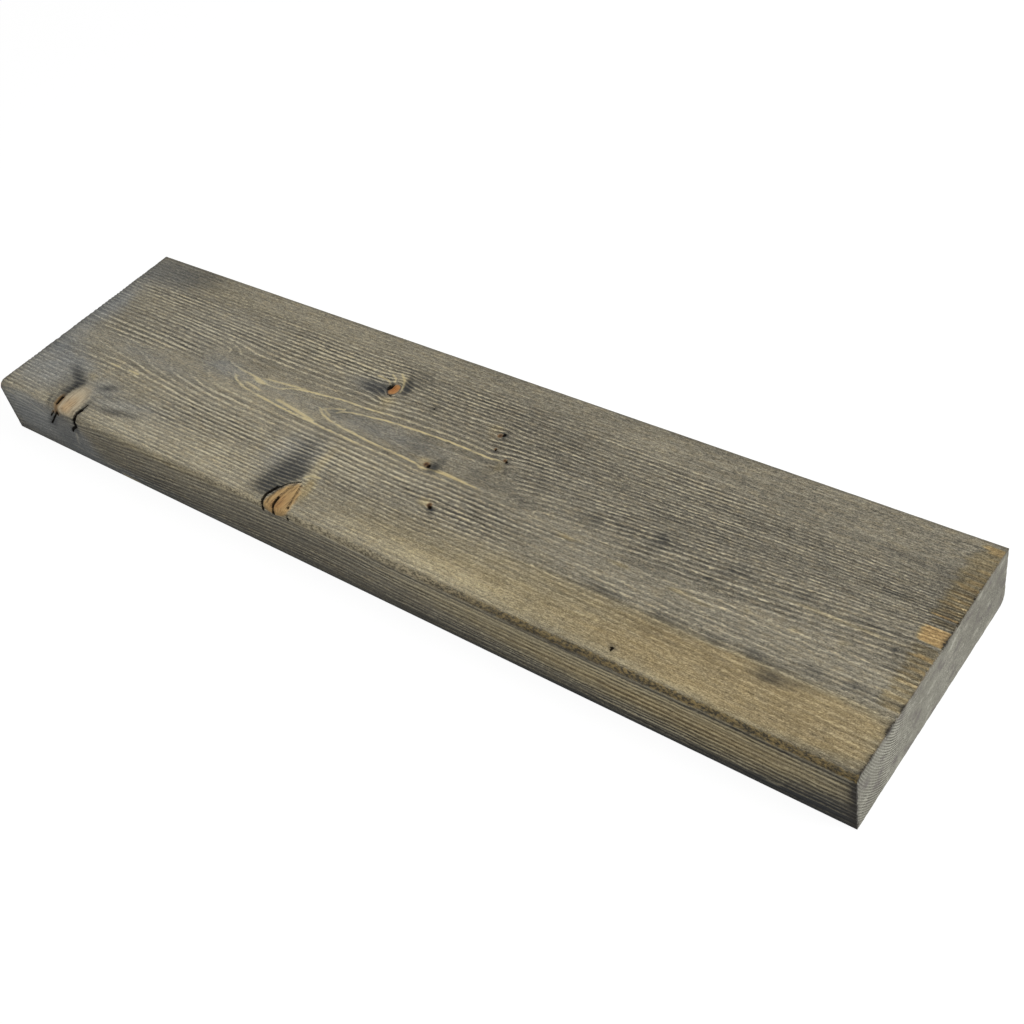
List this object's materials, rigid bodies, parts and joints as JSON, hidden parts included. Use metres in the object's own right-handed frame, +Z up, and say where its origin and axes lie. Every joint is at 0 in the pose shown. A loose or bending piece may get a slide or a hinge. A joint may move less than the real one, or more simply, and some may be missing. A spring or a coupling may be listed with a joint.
{
  "type": "wall shelf",
  "caption": "Floating wall shelf: a thick solid softwood board with eased edges that slides onto concealed steel pins riveted to wall plates flush in its back edge.",
  "frame": {"origin": "on the wall plane, at the middle of the board's back face, which is the level of the wall screws", "axes": "+X along the shelf to the right as seen from the room, +Y into the wall, +Z up"},
  "size_m": [0.8, 0.2, 0.05],
  "materials": {
    "stained_softwood": "brushed, grey-brown stain",
    "zinc_steel": "bright zinc plated"
  },
  "bodies": {
    "wall_supports": {"left_wall_plate": "zinc_steel", "left_support_pin": "zinc_steel", "right_wall_plate": "zinc_steel", "right_support_pin": "zinc_steel"},
    "board": {"board": "stained_softwood"}
  },
  "joints": [
    {"name": "board_slide", "type": "slide", "parent": "wall_supports", "child": "board", "axis": [0, -1, 0], "range_m": [0, 0.155]}
  ]
}
